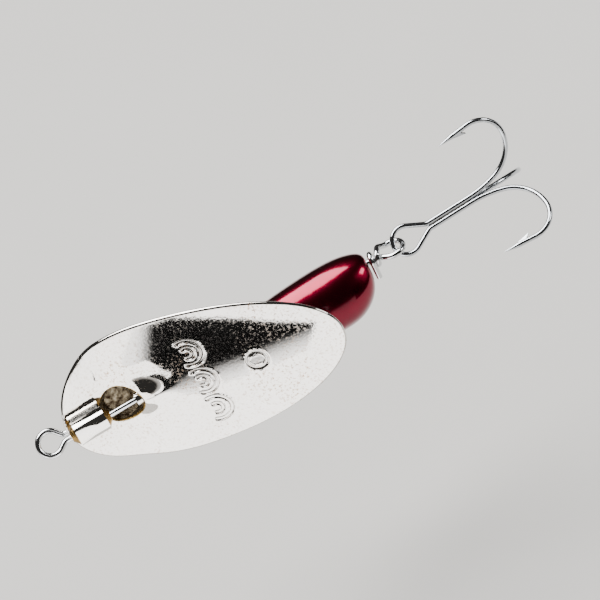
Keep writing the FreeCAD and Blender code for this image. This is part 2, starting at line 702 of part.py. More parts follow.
def hook_point(angle):
    """The sharpened point and the barb at the end of one spear."""
    _, tip, heading = hook_corners(angle)
    wire = size("hook_wire")
    ahead = hook_plane(math.cos(heading), math.sin(heading), angle)
    foot = hook_plane(*tip, angle)
    point = Part.makeCone(wire, size("point_tip"), size("point_len"), foot, ahead)
    inward = heading + math.pi / 2
    across = (math.cos(inward), math.sin(inward))
    along = (math.cos(heading), math.sin(heading))

    def beside(back, lift):
        x = tip[0] - back * along[0] + lift * across[0]
        out = tip[1] - back * along[1] + lift * across[1]
        return hook_plane(x, out, angle)

    outline = [
        beside(-size("barb_ahead"), wire * BARB_ROOT),
        beside(size("barb_len"), size("barb_rise")),
        beside(size("barb_len") * BARB_HEEL, wire * BARB_ROOT),
    ]
    normal = (outline[1] - outline[0]).cross(outline[2] - outline[0]).normalize()
    half_thick = wire * BARB_THICK
    moved = [corner - normal * half_thick for corner in outline]
    face = Part.Face(Part.makePolygon(moved + moved[:1]))
    barb = face.extrude(normal * (2 * half_thick))
    return point.fuse(barb)


def hook_eye_corners():
    """The hook's pear-shaped eye, from the upper strand at the neck round to the lower."""
    ring = size("hook_eye_r")
    centre = ring - size("link_gap + wire_r + hook_wire")
    aside = size("bundle_r") * math.cos(math.radians(UPPER))
    strand = size("bundle_r") * math.sin(math.radians(UPPER))
    reach = neck_x() - centre
    # the side of the eye touches the ring and meets the strand's own line at the neck
    slope = math.asin(ring / math.hypot(reach, strand)) - math.atan2(strand, reach)
    upper_half = [
        (neck_x(), strand, size("neck_r")),
        (centre + ring * math.tan(slope / 2), ring, ring),
        (centre - ring, ring, ring),
    ]
    lower_half = [(x, -z, bend) for x, z, bend in reversed(upper_half)]
    return [(Vector(x, aside, z), bend) for x, z, bend in upper_half + lower_half]


def make_hook_pair():
    """Two of the three hooks and the eye, bent from one wire."""
    upper, _, _ = hook_corners(UPPER)
    lower, _, _ = hook_corners(LOWER)
    path = bent_path(upper + hook_eye_corners() + lower[::-1])
    shape = round_bar(path, size("hook_wire"))
    for angle in (UPPER, LOWER):
        shape = shape.fuse(hook_point(angle))
    pair = doc.addObject("Part::Feature", "hook_pair")
    pair.Label = "hook_pair"
    pair.Shape = shape.removeSplitter()
    pair.Placement = hook_place()
    return pair


def make_hook_single():
    """The third hook, a wire of its own brazed to the pair."""
    corners, _, _ = hook_corners(THIRD)
    end = hook_plane(neck_x() + size("single_start"), size("bundle_r"), THIRD)
    path = bent_path(corners + [(end, 0)])
    shape = round_bar(path, size("hook_wire")).fuse(hook_point(THIRD))
    single = doc.addObject("Part::Feature", "hook_single")
    single.Label = "hook_single"
    single.Shape = shape.removeSplitter()
    single.Placement = hook_place()
    return single


def make_hook_braze():
    """The braze between the three shanks."""
    body = doc.addObject("PartDesign::Body", "hook_braze")
    body.Label = "hook_braze"
    core = new_sketch(body, "YZ_Plane", "hook_braze_core")
    core.setExpression("AttachmentOffset.Base.z", f"{NECK} + dims.hook_braze_inset")
    draw_circle(core, "0", "0", "dims.bundle_r + dims.hook_braze_proud")
    run = body.newObject("PartDesign::Pad", "hook_braze_run")
    run.Profile = core
    run.setExpression("Length", "dims.shank_len - 2 * dims.hook_braze_inset")
    doc.recompute()
    groove_sketch = new_sketch(body, "YZ_Plane", "hook_braze_groove_sketch")
    draw_circle(groove_sketch, "dims.bundle_r", "0", "dims.hook_wire + dims.fit")
    groove = body.newObject("PartDesign::Pocket", "hook_braze_groove")
    groove.Profile = groove_sketch
    groove.Type = "ThroughAll"
    groove.Midplane = True
    doc.recompute()
    three = body.newObject("PartDesign::PolarPattern", "hook_braze_grooves")
    three.Originals = [groove]
    three.Axis = (groove_sketch, ["N_Axis"])
    three.Angle = 360
    three.Occurrences = 3
    body.Tip = three
    body.Placement = hook_place()
    return body


parts = [
    make_shaft_wire(),
    make_blade(),
    make_wire_cup(),
    make_wire_sleeve(),
    make_bearing_tube(),
    make_bush("front_bush", TUBE_X, -1),
    make_bush("rear_bush", TUBE_END, 1),
    make_tube_braze(),
    make_thrust_bead(),
    make_weight_body(),
    make_weight_liner(),
    make_hook_pair(),
    make_hook_single(),
    make_hook_braze(),
]
doc.recompute()

for thing in doc.Objects:
    if "Invalid" in thing.State or "Error" in thing.State:
        raise RuntimeError(f"{thing.Label} could not be built: {thing.State}")
for part in parts:
    if part.Shape.isNull() or not part.Shape.isValid() or part.Shape.Volume <= 0:
        raise RuntimeError(f"{part.Label} has no valid shape")

for part in parts:
    part.Shape.exportStep(f"parts/{part.Label}.step")
    box = part.Shape.optimalBoundingBox()
    low = f"{box.XMin:.2f} {box.YMin:.2f} {box.ZMin:.2f}"
    high = f"{box.XMax:.2f} {box.YMax:.2f} {box.ZMax:.2f}"
    print(f"{part.Label}: {len(part.Shape.Solids)} solid, {part.Shape.Volume:.3f} mm3, {low} to {high}")
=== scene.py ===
import math

import bmesh
import bpy
from mathutils import Matrix, Vector


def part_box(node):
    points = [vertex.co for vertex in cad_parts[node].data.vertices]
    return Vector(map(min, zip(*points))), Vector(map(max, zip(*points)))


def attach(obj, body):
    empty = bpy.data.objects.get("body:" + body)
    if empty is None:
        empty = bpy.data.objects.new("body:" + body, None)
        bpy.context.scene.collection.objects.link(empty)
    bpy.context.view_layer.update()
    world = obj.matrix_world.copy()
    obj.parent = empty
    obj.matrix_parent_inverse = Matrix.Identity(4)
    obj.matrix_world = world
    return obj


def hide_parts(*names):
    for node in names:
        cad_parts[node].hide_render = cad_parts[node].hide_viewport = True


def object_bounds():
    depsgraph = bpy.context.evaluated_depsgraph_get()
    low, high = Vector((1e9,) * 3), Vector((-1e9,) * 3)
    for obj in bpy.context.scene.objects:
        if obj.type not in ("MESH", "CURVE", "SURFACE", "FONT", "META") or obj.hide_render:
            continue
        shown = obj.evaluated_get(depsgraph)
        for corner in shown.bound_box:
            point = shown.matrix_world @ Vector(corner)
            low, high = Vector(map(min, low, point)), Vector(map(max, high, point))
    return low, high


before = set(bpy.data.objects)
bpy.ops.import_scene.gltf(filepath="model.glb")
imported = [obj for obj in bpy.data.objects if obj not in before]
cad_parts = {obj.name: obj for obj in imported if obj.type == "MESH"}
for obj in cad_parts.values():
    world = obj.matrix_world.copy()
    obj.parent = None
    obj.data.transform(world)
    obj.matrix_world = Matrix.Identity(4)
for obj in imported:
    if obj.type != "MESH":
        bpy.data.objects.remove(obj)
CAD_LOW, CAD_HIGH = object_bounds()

bl_info = {
    "name": "In-line Spinner",
    "version": (1, 0, 0),
    "blender": (4, 5, 0),
    "location": "3D View > Sidebar > Spinner",
    "description": "Finishes an in-line spinner: its plated blade, lacquered weight, wire and hook",
    "category": "Object",
}

MM = 0.001
TUBE_LOW, TUBE_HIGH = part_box("bearing_tube")
BLADE_LOW, BLADE_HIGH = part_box("blade")
FLOOR_DROP = 30 * MM  # the floor lies clear of the hook and the blade at every pose
FLOOR_HALF = 4.0  # half the floor's width, in metres
HUMP_FRONT_RUN = 1.7 * MM  # the hump rises over this length ahead of its top

# The stamped marks, in pitches from one scale to the next unless the line says otherwise
SCALE_OUTER, SCALE_INNER = 0.4, 0.16  # radii of the nested arcs of a fish scale
SCALE_SPAN = 112  # half of a scale's arc, in degrees
COLUMN_BACK = 3.4 * MM  # the column of scales behind the blade's widest place, in metres
COLUMN_DROP = 0.1  # how far the column stands below the middle
RING_BACK, RING_RADIUS = 1.6, 0.27  # the ring's place behind the column, and its radius
STAMP_WALL = 0.3  # half the width of a stamped line's wall, in half widths of the line
STAMP_LIP = 0.2  # height of the lip beside a line, in depths of the line
MARK_BAND = 1.3  # finer faces this far from a mark, in widths of its line
MARK_CUTS = 3  # cuts of each edge there

# Two of the cards that the blade mirrors stand ahead of it, this way from the blade
AHEAD = Vector((-0.61, -0.7, -0.36)).normalized()

# Rings and spokes of the blade's mesh
SPOKES = 360
FACE_RINGS = 110
RIM_STEPS = 12
HOLE_STEPS = 5


def linear(colour):
    """An sRGB hex colour, such as 0xD8D5D0, as linear red, green and blue."""
    channels = [((colour >> shift) & 255) / 255 for shift in (16, 8, 0)]
    return tuple(c / 12.92 if c <= 0.04045 else ((c + 0.055) / 1.055) ** 2.4 for c in channels)


def opaque(colour):
    """A linear colour with full alpha, as the shader's sockets take it."""
    return (*colour, 1.0)


def per_mm(size):
    """The texture scale at which a pattern repeats about every so many millimetres."""
    return 1 / (size * MM)


# ---------------------------------------------------------------- settings

def length(name, description, default):
    """A size in millimetres, kept as a length in metres."""
    return bpy.props.FloatProperty(
        name=name, description=description, default=default * MM, unit="LENGTH", precision=5
    )


def turn(name, description, default):
    """An angle, given in degrees."""
    return bpy.props.FloatProperty(
        name=name, description=description, default=math.radians(default), subtype="ANGLE"
    )


def paint(name, description, colour):
    """A colour, given as sRGB hex."""
    return bpy.props.FloatVectorProperty(
        name=name, description=description, default=linear(colour), subtype="COLOR", min=0, max=1
    )


class BladeSettings(bpy.types.PropertyGroup):
    """Sizes of the stamped blade."""

    sheet: length("Sheet", "Thickness of the sheet", 0.5)
    stand: turn("Stand", "Where the blade stands about the shaft", -5)
    film: length("Film", "Braze between tube and blade", 0.03)
    fore: length("Fore", "From the front tip to the widest place", 12.85)
    half_width: length("Half width", "Half of the blade's width", 9.2)
    bend_radius: length("Bend", "Bend behind the tube, outer face", 6.0)
    bend_turn: turn("Bend turn", "Turn of that bend", 27.5)
    long_radius: length("Long radius", "Lengthwise curve of the outer face", 170)
    crown: length("Crown", "Distance of the axis about which the blade is crowned", 70)
    hole_radius: length("Hole", "Radius of the hole", 2.35)
    hole_gap: length("Hole gap", "From the tube's rear end to the edge of the hole", 0.02)
    hole_round: length("Hole edge", "Rounding of the hole's edge", 0.12)
    hump: length("Hump", "Height of the hump pressed over the wire", 0.85)
    hump_back: length("Hump place", "Top of the hump behind the middle of the hole", 2.75)
    hump_run: length("Hump run", "How far the hump runs out aft", 2.2)
    hump_spread: length("Hump spread", "How far the hump runs out sideways", 1.9)
    stamp_depth: length("Stamp depth", "Depth of the stamped marks", 0.15)
    stamp_width: length("Stamp width", "Width of a stamped line", 0.36)
    stamp_pitch: length("Stamp pitch", "From one stamped scale to the next", 4.1)


class FinishSettings(bpy.types.PropertyGroup):
    """Colours of the metals and the lacquer."""

    nickel: paint("Nickel", "Nickel plate", 0xE4E0DB)
    stain: paint("Stain", "Tarnish on the plate", 0x8A6232)
    steel: paint("Steel", "Stainless wire", 0xD3D4D5)
    hook: paint("Hook", "Plated hook wire", 0xC4C7CB)
    brass: paint("Brass", "Clean brass", 0xD6B36B)
    dull_brass: paint("Dull brass", "Brass of the bushes, gone dull", 0xA8874E)
    old_brass: paint("Old brass", "Brass inside the cup, gone grey", 0x8F846F)
    tarnish: paint("Tarnish", "Brown tarnish on brass", 0x37291B)
    solder: paint("Braze", "Silver braze", 0xC9C7C2)
    lacquer: paint("Lacquer", "Red lacquer over bright metal", 0x840D2C)


class StageSettings(bpy.types.PropertyGroup):
    """Camera angles and the strength of the lights."""

    rise: turn("Rise", "Camera's height over the horizon", 35)
    swing: turn("Swing", "Camera's swing towards the front", 3)
    roll: turn("Roll", "Tilt of the lure in the picture", 30.5)
    distance: bpy.props.FloatProperty(
        name="Distance", description="Camera to lure", default=0.9, unit="LENGTH"
    )
    field: length("Field", "Width that the picture takes in", 69)
    aim_right: length("Aim right", "Picture's middle, right of the lure's", 1.5)
    aim_up: length("Aim up", "Picture's middle, above the lure's", 1.9)
    floor: paint("Floor", "Pale matt floor", 0xC9C7C3)
    overhead: bpy.props.FloatProperty(
        name="Overhead", description="Power of the overhead softbox", default=7.0, unit="POWER"
    )
    side: bpy.props.FloatProperty(
        name="Side", description="Power of the side softbox", default=1.6, unit="POWER"
    )
    ambient: bpy.props.FloatProperty(
        name="Ambient", description="Strength of the room's light", default=0.06
    )
    # glow of the cards that paint reflections in the metal, which light nothing
    panel: bpy.props.FloatProperty(
        name="Panel", description="Glow of the light panels near the lure", default=3.0
    )


# ---------------------------------------------------------------- node helpers

def add_node(tree, kind, inputs=None, **settings):
    """Add a node, set it up, and link or set its inputs by name or number."""
    node = tree.nodes.new(kind)
    for name, value in settings.items():
        setattr(node, name, value)
    for socket, value in (inputs or {}).items():
        if isinstance(value, bpy.types.NodeSocket):
            tree.links.new(value, node.inputs[socket])
        else:
            node.inputs[socket].default_value = value
    return node


def new_material(name):
    """An empty node material, with its tree and the place on the piece in metres."""
    material = bpy.data.materials.new(name)
    material.use_nodes = True
    tree = material.node_tree
    tree.nodes.clear()
    place = add_node(tree, "ShaderNodeTexCoord").outputs["Object"]
    return material, tree, place


def close_material(tree, inputs):
    """The principled shader with these inputs, wired to the output."""
    shader = add_node(tree, "ShaderNodeBsdfPrincipled", inputs)
    add_node(tree, "ShaderNodeOutputMaterial", {"Surface": shader.outputs["BSDF"]})


def finish_node(name, material):
    """Give a CAD node its finish."""
    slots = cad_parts[name].material_slots
    if not slots:
        raise RuntimeError(f"{name} has no material slot")
    for material_slot in slots:
        material_slot.material = material


# ---------------------------------------------------------------- materials

def nickel_plate(finish):
    """Nickel-plated brass sheet, buffed: a bright warm mirror, faintly speckled with tarnish."""
    material, tree, place = new_material("nickel_plate_buffed")
    patches = add_node(
        tree, "ShaderNodeTexNoise", {"Vector": place, "Scale": per_mm(6.0), "Detail": 2.0}
    )
    specks = add_node(
        tree, "ShaderNodeTexNoise",
        {"Vector": place, "Scale": per_mm(0.3), "Detail": 5.0, "Roughness": 0.6},
    )
    where = add_node(
        tree, "ShaderNodeMapRange",
        {
            "Value": patches.outputs["Fac"], "From Min": 0.42, "From Max": 0.68,
            "To Min": 0.25, "To Max": 0.8,
        },
    )
    spots = add_node(
        tree, "ShaderNodeMapRange",
        {"Value": specks.outputs["Fac"], "From Min": 0.52, "From Max": 0.64, "To Max": 1.0},
    )
    stained = add_node(
        tree, "ShaderNodeMath", {0: where.outputs["Result"], 1: spots.outputs["Result"]},
        operation="MULTIPLY",
    )
    colour = add_node(
        tree, "ShaderNodeMix",
        {0: stained.outputs[0], 6: opaque(finish.nickel), 7: opaque(finish.stain)},
        data_type="RGBA",
    )
    dull = add_node(
        tree, "ShaderNodeMapRange",
        {"Value": stained.outputs[0], "To Min": 0.04, "To Max": 0.28},
    )
    # orange peel of the buffed plate, drawn coarser than life so that it shows
    peel = add_node(
        tree, "ShaderNodeTexNoise", {"Vector": place, "Scale": per_mm(0.3), "Detail": 2.0}
    )
    bump = add_node(
        tree, "ShaderNodeBump",
        {"Height": peel.outputs["Fac"], "Strength": 0.05, "Distance": 0.05 * MM},
    )
    close_material(tree, {
        "Base Color": colour.outputs[2], "Roughness": dull.outputs["Result"],
        "Normal": bump.outputs["Normal"], "Metallic": 1.0,
    })
    return material


def drawn_wire(name, colour, roughness):
    """Wire pulled through a die: bright, with fine lines along it."""
    material, tree, place = new_material(name)
    stretched = add_node(
        tree, "ShaderNodeMapping", {"Vector": place, "Scale": (0.08, 1.0, 1.0)}
    )
    lines = add_node(
        tree, "ShaderNodeTexNoise",
        {"Vector": stretched.outputs["Vector"], "Scale": per_mm(0.12), "Detail": 3.0},
    )
    rough = add_node(
        tree, "ShaderNodeMapRange",
        {
            "Value": lines.outputs["Fac"], "From Min": 0.3, "From Max": 0.7,
            "To Min": roughness * 0.7, "To Max": roughness * 1.5,
        },
    )
    bump = add_node(
        tree, "ShaderNodeBump",
        {"Height": lines.outputs["Fac"], "Strength": 0.08, "Distance": 0.02 * MM},
    )
    close_material(tree, {
        "Base Color": opaque(colour), "Roughness": rough.outputs["Result"],
        "Normal": bump.outputs["Normal"], "Metallic": 1.0,
    })
    return material


def brass(name, clean, finish, tarnished, roughness):
    """Turned or drawn brass: yellow metal under uneven brown tarnish."""
    material, tree, place = new_material(name)
    patina = add_node(
        tree, "ShaderNodeTexNoise",
        {"Vector": place, "Scale": per_mm(0.8), "Detail": 6.0, "Roughness": 0.65},
    )
    cover = add_node(
        tree, "ShaderNodeMapRange",
        {
            "Value": patina.outputs["Fac"], "From Min": 0.62 - 0.35 * tarnished,
            "From Max": 0.8 - 0.25 * tarnished,
        },
    )
    colour = add_node(
        tree, "ShaderNodeMix",
        {0: cover.outputs["Result"], 6: opaque(clean), 7: opaque(finish.tarnish)},
        data_type="RGBA",
    )
    rough = add_node(
        tree, "ShaderNodeMapRange",
        {
            "Value": cover.outputs["Result"], "To Min": roughness,
            "To Max": roughness + 0.3,
        },
    )
    bump = add_node(
        tree, "ShaderNodeBump",
        {
            "Height": patina.outputs["Fac"], "Strength": 0.15 + 0.6 * tarnished,
            "Distance": 0.12 * MM,
        },
    )
    close_material(tree, {
        "Base Color": colour.outputs[2], "Roughness": rough.outputs["Result"],
        "Normal": bump.outputs["Normal"], "Metallic": 1.0,
    })
    return material


def silver_braze(finish):
    """Silver braze as it froze: grey, satin and slightly lumpy."""
    material, tree, place = new_material("silver_braze_flowed")
    lumps = add_node(
        tree, "ShaderNodeTexNoise", {"Vector": place, "Scale": per_mm(0.5), "Detail": 3.0}
    )
    rough = add_node(
        tree, "ShaderNodeMapRange",
        {"Value": lumps.outputs["Fac"], "To Min": 0.15, "To Max": 0.45},
    )
    bump = add_node(
        tree, "ShaderNodeBump",
        {"Height": lumps.outputs["Fac"], "Strength": 0.4, "Distance": 0.08 * MM},
    )
    close_material(tree, {
        "Base Color": opaque(finish.solder), "Roughness": rough.outputs["Result"],
        "Normal": bump.outputs["Normal"], "Metallic": 1.0,
    })
    return material


def red_lacquer(finish):
    """Clear red lacquer over bright metal: deep red under a glossy coat, with flow marks."""
    material, tree, place = new_material("red_lacquer_dipped")
    flow = add_node(
        tree, "ShaderNodeTexNoise", {"Vector": place, "Scale": per_mm(3.0), "Detail": 2.0}
    )
    deep = tuple(channel * 0.55 for channel in finish.lacquer)
    colour = add_node(
        tree, "ShaderNodeMix",
        {0: flow.outputs["Fac"], 6: opaque(finish.lacquer), 7: opaque(deep)},
        data_type="RGBA",
    )
    grain = add_node(
        tree, "ShaderNodeTexNoise", {"Vector": place, "Scale": per_mm(0.25), "Detail": 2.0}
    )
    bump = add_node(
        tree, "ShaderNodeBump",
        {"Height": grain.outputs["Fac"], "Strength": 0.04, "Distance": 0.03 * MM},
    )
    close_material(tree, {
        "Base Color": colour.outputs[2], "Roughness": 0.22, "Metallic": 1.0,
        "Normal": bump.outputs["Normal"], "Coat Weight": 0.5, "Coat Roughness": 0.03,
    })
    return material


def floor_card(stage):
    """Matt paper: pale, with a very faint mottle."""
    material, tree, place = new_material("paper_matt")
    mottle = add_node(
        tree, "ShaderNodeTexNoise", {"Vector": place, "Scale": per_mm(20.0), "Detail": 2.0}
    )
    shade = tuple(channel * 0.96 for channel in stage.floor)
    colour = add_node(
        tree, "ShaderNodeMix",
        {0: mottle.outputs["Fac"], 6: opaque(stage.floor), 7: opaque(shade)},
        data_type="RGBA",
    )
    close_material(tree, {
        "Base Color": colour.outputs[2], "Roughness": 0.9, "Specular IOR Level": 0.0,
    })
    return material


# ---------------------------------------------------------------- blade

class BladeShape:
    """The blade's faces and outline, in metres from the shaft's axis, before it is turned."""

    def __init__(self, sizes):
        self.sizes = sizes
        self.bend_x = TUBE_HIGH.x
        self.face_y = (TUBE_HIGH.z - TUBE_LOW.z) / 2 + sizes.film
        self.front_x = BLADE_LOW.x
        self.tail_x = BLADE_HIGH.x
        self.widest_x = self.front_x + sizes.fore
        self.hole_x = self.bend_x + sizes.hole_gap + sizes.hole_radius
        self.hump_x = self.hole_x + sizes.hump_back
        turned = sizes.bend_turn
        self.knee_x = math.sin(turned) * sizes.bend_radius
        knee_y = self.face_y - sizes.bend_radius * (1 - math.cos(turned))
        self.far_x = self.bend_x + self.knee_x + sizes.long_radius * math.sin(turned)
        self.far_y = knee_y + sizes.long_radius * math.cos(turned)
        self.marks = stamped_marks(self)

    def centre_line(self, x, depth):
        """Height of the face along the middle of the blade, at a depth in the sheet."""
        sizes = self.sizes
        bend = sizes.bend_radius + depth
        if x <= self.bend_x:
            return self.face_y + depth
        if x <= self.bend_x + bend * math.sin(sizes.bend_turn):
            return self.face_y - sizes.bend_radius + math.sqrt(bend**2 - (x - self.bend_x) ** 2)
        return self.far_y - math.sqrt((sizes.long_radius - depth) ** 2 - (self.far_x - x) ** 2)

    def height(self, x, z, depth):
        """Height of the crowned face, with the hump over the wire."""
        sizes = self.sizes
        run = sizes.hump_run if x > self.hump_x else HUMP_FRONT_RUN
        fall = ((x - self.hump_x) / run) ** 2 + (z / sizes.hump_spread) ** 2
        hump = sizes.hump * math.exp(-fall)
        below = sizes.crown - self.centre_line(x, depth)
        return sizes.crown - math.sqrt(below**2 - z**2) - hump

    def reach(self, angle):
        """From the hole's middle to the outline at this angle, and that direction's lean."""
        sizes = self.sizes
        cos, sin = math.cos(angle), math.sin(angle)
        behind = self.hole_x - self.widest_x
        for axis, aft in ((self.tail_x - self.widest_x, True), (sizes.fore, False)):
            a = (cos / axis) ** 2 + (sin / sizes.half_width) ** 2
            b = behind * cos / axis**2
            c = (behind / axis) ** 2 - 1
            far = (-b + math.sqrt(b * b - a * c)) / a
            x = behind + far * cos
            if (x >= 0) == aft:
                break
        outward = Vector((x / axis**2, far * sin / sizes.half_width**2)).normalized()
        return far, outward.x * cos + outward.y * sin

    def stamp(self, x, z):
        """How far a stamped mark pushes the outer face in at this place."""
        sizes = self.sizes
        gap = min(distance_to_arc(x, z, *mark) for mark in self.marks)
        half = sizes.stamp_width / 2
        wall = STAMP_WALL * half
        if gap > 2 * half + wall:
            return 0.0
        share = min(max((gap - half + wall) / (2 * wall), 0), 1)
        floor = 1 - share * share * (3 - 2 * share)
        lip = STAMP_LIP * math.exp(-(((gap - half - 1.5 * wall) / wall) ** 2))
        return sizes.stamp_depth * (floor - lip)


def distance_to_arc(x, z, middle_x, middle_z, radius, span):
    """Distance of a place on the blade from an arc that bulges aft."""
    x, z = x - middle_x, abs(z - middle_z)
    if math.atan2(z, x) <= span:
        return abs(math.hypot(x, z) - radius)
    return math.hypot(x - radius * math.cos(span), z - radius * math.sin(span))


def stamped_marks(shape):
    """Three fish scales in a column across the blade and a ring beyond them, as arcs."""
    pitch = shape.sizes.stamp_pitch
    column_x = shape.widest_x + COLUMN_BACK
    marks = []
    for place in (-1, 0, 1):
        middle_z = (place - COLUMN_DROP) * pitch
        for radius in (SCALE_OUTER * pitch, SCALE_INNER * pitch):
            marks.append((column_x, middle_z, radius, math.radians(SCALE_SPAN)))
    marks.append((column_x + RING_BACK * pitch, 0, RING_RADIUS * pitch, math.pi))
    return marks


def blade_rings(shape):
    """The loops of the blade's mesh: (share from hole to rim, inset, depth) round the sheet."""
    sizes = shape.sizes
    sheet, soft = sizes.sheet, sizes.hole_round
    rim = sheet / 2
    rings = []
    for step in range(FACE_RINGS + 1):
        rings.append((step / FACE_RINGS, 0.0, 0.0))
    for step in range(1, RIM_STEPS):
        angle = math.pi * step / RIM_STEPS
        rings.append((1.0, rim * math.sin(angle), rim * (1 - math.cos(angle))))
    for step in range(FACE_RINGS // 2 + 1):
        rings.append((1 - 2 * step / FACE_RINGS, 0.0, sheet))
    quarter = math.pi / 2
    for step in range(1, HOLE_STEPS + 1):
        angle = quarter * step / HOLE_STEPS
        rings.append((0.0, -soft * math.sin(angle), sheet - soft * (1 - math.cos(angle))))
    for step in range(HOLE_STEPS):
        angle = quarter * (1 - step / HOLE_STEPS)
        rings.append((0.0, -soft * math.sin(angle), soft * (1 - math.cos(angle))))
    return rings


def build_blade(shape, plate, raw):
    """The blade as one closed mesh: polished faces, a fully rounded rim and the hole's wall."""
    sizes = shape.sizes
    rim, soft = sizes.sheet / 2, sizes.hole_round
    mesh = bpy.data.meshes.new("blade_plate")
    work = bmesh.new()
    rings = blade_rings(shape)
    loops = []
    for share, out, depth in rings:
        loop = []
        for spoke in range(SPOKES):
            angle = math.tau * spoke / SPOKES
            far, lean = shape.reach(angle)
            near_edge = sizes.hole_radius + soft
            far_edge = far - rim / lean
            at = near_edge + share * (far_edge - near_edge) + (out / lean if share else out)
            x = shape.hole_x + at * math.cos(angle)
            z = at * math.sin(angle)
            loop.append(work.verts.new((x, depth, z)))
        loops.append(loop)
    wall_from = len(rings) - 2 * HOLE_STEPS - 1
    for index, (loop, after) in enumerate(zip(loops, loops[1:] + loops[:1])):
        for spoke in range(SPOKES):
            nxt = (spoke + 1) % SPOKES
            face = work.faces.new((loop[spoke], loop[nxt], after[nxt], after[spoke]))
            face.smooth = True
            face.material_index = 1 if index >= wall_from else 0
    refine_marks(work, shape)
    for vert in work.verts:
        x, depth, z = vert.co
        y = shape.height(x, z, depth)
        if depth == 0:
            y += shape.stamp(x, z)
        vert.co = (x, y, z)
    bmesh.ops.recalc_face_normals(work, faces=work.faces)
    work.to_mesh(mesh)
    work.free()
    axis_y = (TUBE_LOW.y + TUBE_HIGH.y) / 2
    axis_z = (TUBE_LOW.z + TUBE_HIGH.z) / 2
    mesh.transform(
        Matrix.Translation((0, axis_y, axis_z)) @ Matrix.Rotation(sizes.stand, 4, "X")
    )
    mesh.materials.append(plate)
    mesh.materials.append(raw)
    blade = bpy.data.objects.new("blade_plate", mesh)
    bpy.context.scene.collection.objects.link(blade)
    return blade


def refine_marks(work, shape):
    """Finer faces where the outer face is stamped, while the mesh is still flat."""
    band = shape.sizes.stamp_width * MARK_BAND
    near = [
        vert for vert in work.verts
        if vert.co.y == 0
        and min(distance_to_arc(vert.co.x, vert.co.z, *mark) for mark in shape.marks) < band
    ]
    close = set(near)
    edges = [edge for edge in work.edges if edge.verts[0] in close and edge.verts[1] in close]
    bmesh.ops.subdivide_edges(work, edges=edges, cuts=MARK_CUTS, use_grid_fill=True)
    for face in work.faces:
        face.smooth = True


# ---------------------------------------------------------------- operators

class SPINNER_OT_blade(bpy.types.Operator):
    """Make the stamped and plated blade"""

    bl_idname = "spinner.blade"
    bl_label = "Blade"

    def execute(self, context):
        shape = BladeShape(context.scene.spinner_blade)
        finish = context.scene.spinner_finish
        plate = nickel_plate(finish)
        raw = brass("brass_sheet_edge_tarnished", finish.brass, finish, 0.7, 0.35)
        blade = build_blade(shape, plate, raw)
        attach(blade, "rotor")
        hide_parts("blade")
        return {"FINISHED"}


class SPINNER_OT_bearing(bpy.types.Operator):
    """Finish the tube, its bushes and braze, and the cup and sleeve behind the hole"""

    bl_idname = "spinner.bearing"
    bl_label = "Bearing"

    def execute(self, context):
        finish = context.scene.spinner_finish
        tube = drawn_wire("nickel_tube_drawn", finish.nickel, 0.07)
        finish_node("bearing_tube", tube)
        finish_node("wire_sleeve", tube)
        turned = brass("brass_turned_dull", finish.dull_brass, finish, 0.45, 0.25)
        finish_node("front_bush", turned)
        finish_node("rear_bush", turned)
        old = brass("brass_drawn_tarnished", finish.old_brass, finish, 0.75, 0.35)
        finish_node("wire_cup", old)
        finish_node("tube_braze", silver_braze(finish))
        return {"FINISHED"}


class SPINNER_OT_wire(bpy.types.Operator):
    """Finish the shaft wire with its eye and loop"""

    bl_idname = "spinner.wire"
    bl_label = "Shaft wire"

    def execute(self, context):
        finish = context.scene.spinner_finish
        finish_node("shaft_wire", drawn_wire("stainless_wire_drawn", finish.steel, 0.12))
        return {"FINISHED"}


class SPINNER_OT_weight(bpy.types.Operator):
    """Finish the bead, the lacquered weight and its liner"""

    bl_idname = "spinner.weight"
    bl_label = "Weight"

    def execute(self, context):
        finish = context.scene.spinner_finish
        finish_node("weight_body", red_lacquer(finish))
        bright = brass("brass_turned_bright", finish.brass, finish, 0.1, 0.12)
        finish_node("thrust_bead", bright)
        finish_node("weight_liner", bright)
        return {"FINISHED"}


class SPINNER_OT_hook(bpy.types.Operator):
    """Finish the three hooks and the braze between them"""

    bl_idname = "spinner.hook"
    bl_label = "Treble hook"

    def execute(self, context):
        finish = context.scene.spinner_finish
        plated = drawn_wire("plated_hook_wire_drawn", finish.hook, 0.13)
        finish_node("hook_pair", plated)
        finish_node("hook_single", plated)
        finish_node("hook_braze", silver_braze(finish))
        return {"FINISHED"}


class SPINNER_OT_stage(bpy.types.Operator):
    """Make the floor, the lights and the camera"""

    bl_idname = "spinner.stage"
    bl_label = "Stage"

    def execute(self, context):
        stage = context.scene.spinner_stage
        middle = (CAD_LOW + CAD_HIGH) / 2
        make_floor(stage)
        make_cards(stage)
        make_lights(stage, middle)
        make_camera(stage, middle)
        return {"FINISHED"}


# ---------------------------------------------------------------- stage

def flat_card(name, corners, material):
    """A flat card through these corners."""
    mesh = bpy.data.meshes.new(name)
    mesh.from_pydata(corners, [], [tuple(range(len(corners)))])
    mesh.materials.append(material)
    card = bpy.data.objects.new(name, mesh)
    bpy.context.scene.collection.objects.link(card)
    return card


def make_floor(stage):
    """The pale floor, well below the lure."""
    level = CAD_LOW.z - FLOOR_DROP
    half = FLOOR_HALF
    corners = [(-half, -half, level), (half, -half, level), (half, half, level), (-half, half, level)]
    flat_card("floor", corners, floor_card(stage))


def hidden_card(name, middle, facing, corners, material):
    """A card that faces back along a direction and shows only where the metal mirrors it.

    The corners are in millimetres across and up the card, from its middle."""
    across = facing.cross(Vector((0, 0, 1))).normalized()
    up = across.cross(facing).normalized()
    card = flat_card(name, [middle + across * a * MM + up * b * MM for a, b in corners], material)
    card.visible_camera = False
    card.visible_diffuse = False
    card.visible_shadow = False


